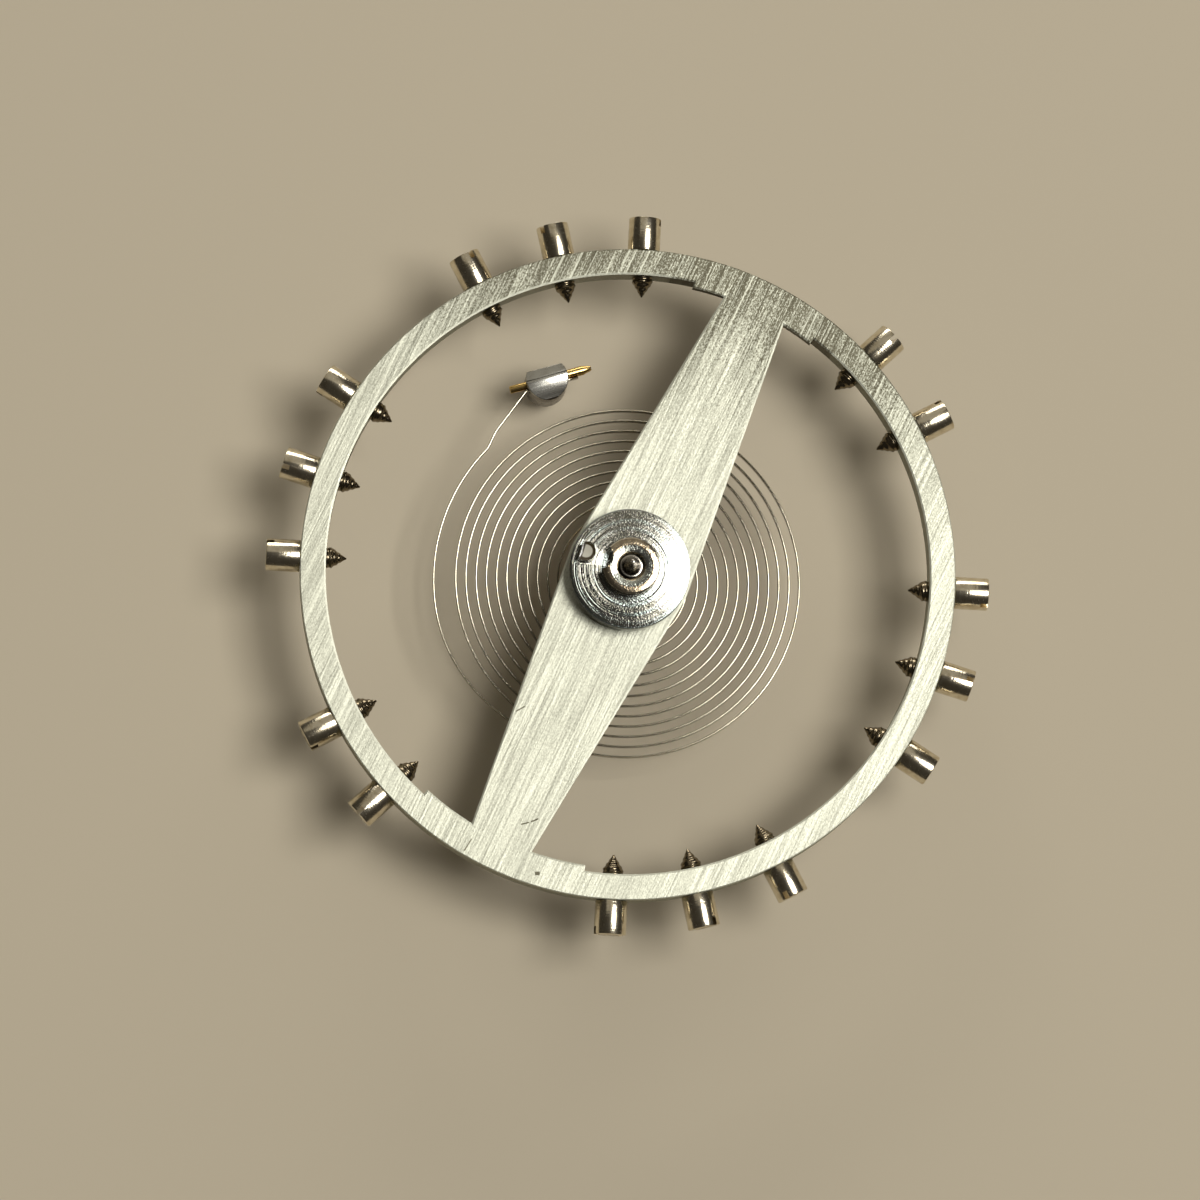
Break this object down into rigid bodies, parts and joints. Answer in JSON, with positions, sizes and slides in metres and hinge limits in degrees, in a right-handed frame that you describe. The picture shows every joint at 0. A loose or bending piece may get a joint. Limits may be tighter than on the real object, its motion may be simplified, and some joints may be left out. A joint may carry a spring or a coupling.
{
  "type": "balance wheel",
  "caption": "Watch balance complete: screwed wheel with flat arm on its staff, double roller with impulse jewel, and a flat hairspring pinned to collet and stud.",
  "frame": {"origin": "tip of the cock-side pivot, on the staff's axis", "axes": "+Z along the staff to its roller side; X along the wheel's arm; Y across it in the wheel's plane"},
  "size_m": [0.0176, 0.0188, 0.0055],
  "materials": {
    "wheel_nickel_silver": "straight brushed nickel silver",
    "screw_nickel_silver": "polished nickel silver",
    "staff_steel": "polished hard steel",
    "roller_steel": "flat polished steel",
    "jewel": "polished stone",
    "spring_steel": "bright spring steel",
    "stud_steel": "polished steel",
    "collet_brass": "turned brass",
    "pin_brass": "drawn brass"
  },
  "bodies": {
    "stud": {"hairspring_stud": "stud_steel", "stud_pin": "pin_brass"},
    "balance": {"balance_screw_01": "screw_nickel_silver", "balance_screw_02": "screw_nickel_silver", "balance_screw_03": "screw_nickel_silver", "balance_screw_04": "screw_nickel_silver", "balance_screw_05": "screw_nickel_silver", "balance_screw_06": "screw_nickel_silver", "balance_screw_07": "screw_nickel_silver", "balance_screw_08": "screw_nickel_silver", "balance_screw_09": "screw_nickel_silver", "balance_screw_10": "screw_nickel_silver", "balance_screw_11": "screw_nickel_silver", "balance_screw_12": "screw_nickel_silver", "balance_screw_13": "screw_nickel_silver", "balance_screw_14": "screw_nickel_silver", "balance_screw_15": "screw_nickel_silver", "balance_screw_16": "screw_nickel_silver", "balance_staff": "staff_steel", "balance_wheel": "wheel_nickel_silver", "collet_pin": "pin_brass", "hairspring": "spring_steel", "hairspring_collet": "collet_brass", "impulse_jewel": "jewel", "roller_table": "roller_steel", "safety_roller": "roller_steel"}
  },
  "joints": [
    {"name": "balance_swing", "type": "hinge", "parent": "stud", "child": "balance", "pos_m": [0, 0, 0], "axis": [0, 0, 1], "range_deg": [-300, 300], "stiffness_Nm_per_rad": 0.00000572, "deforming": ["hairspring"]}
  ]
}
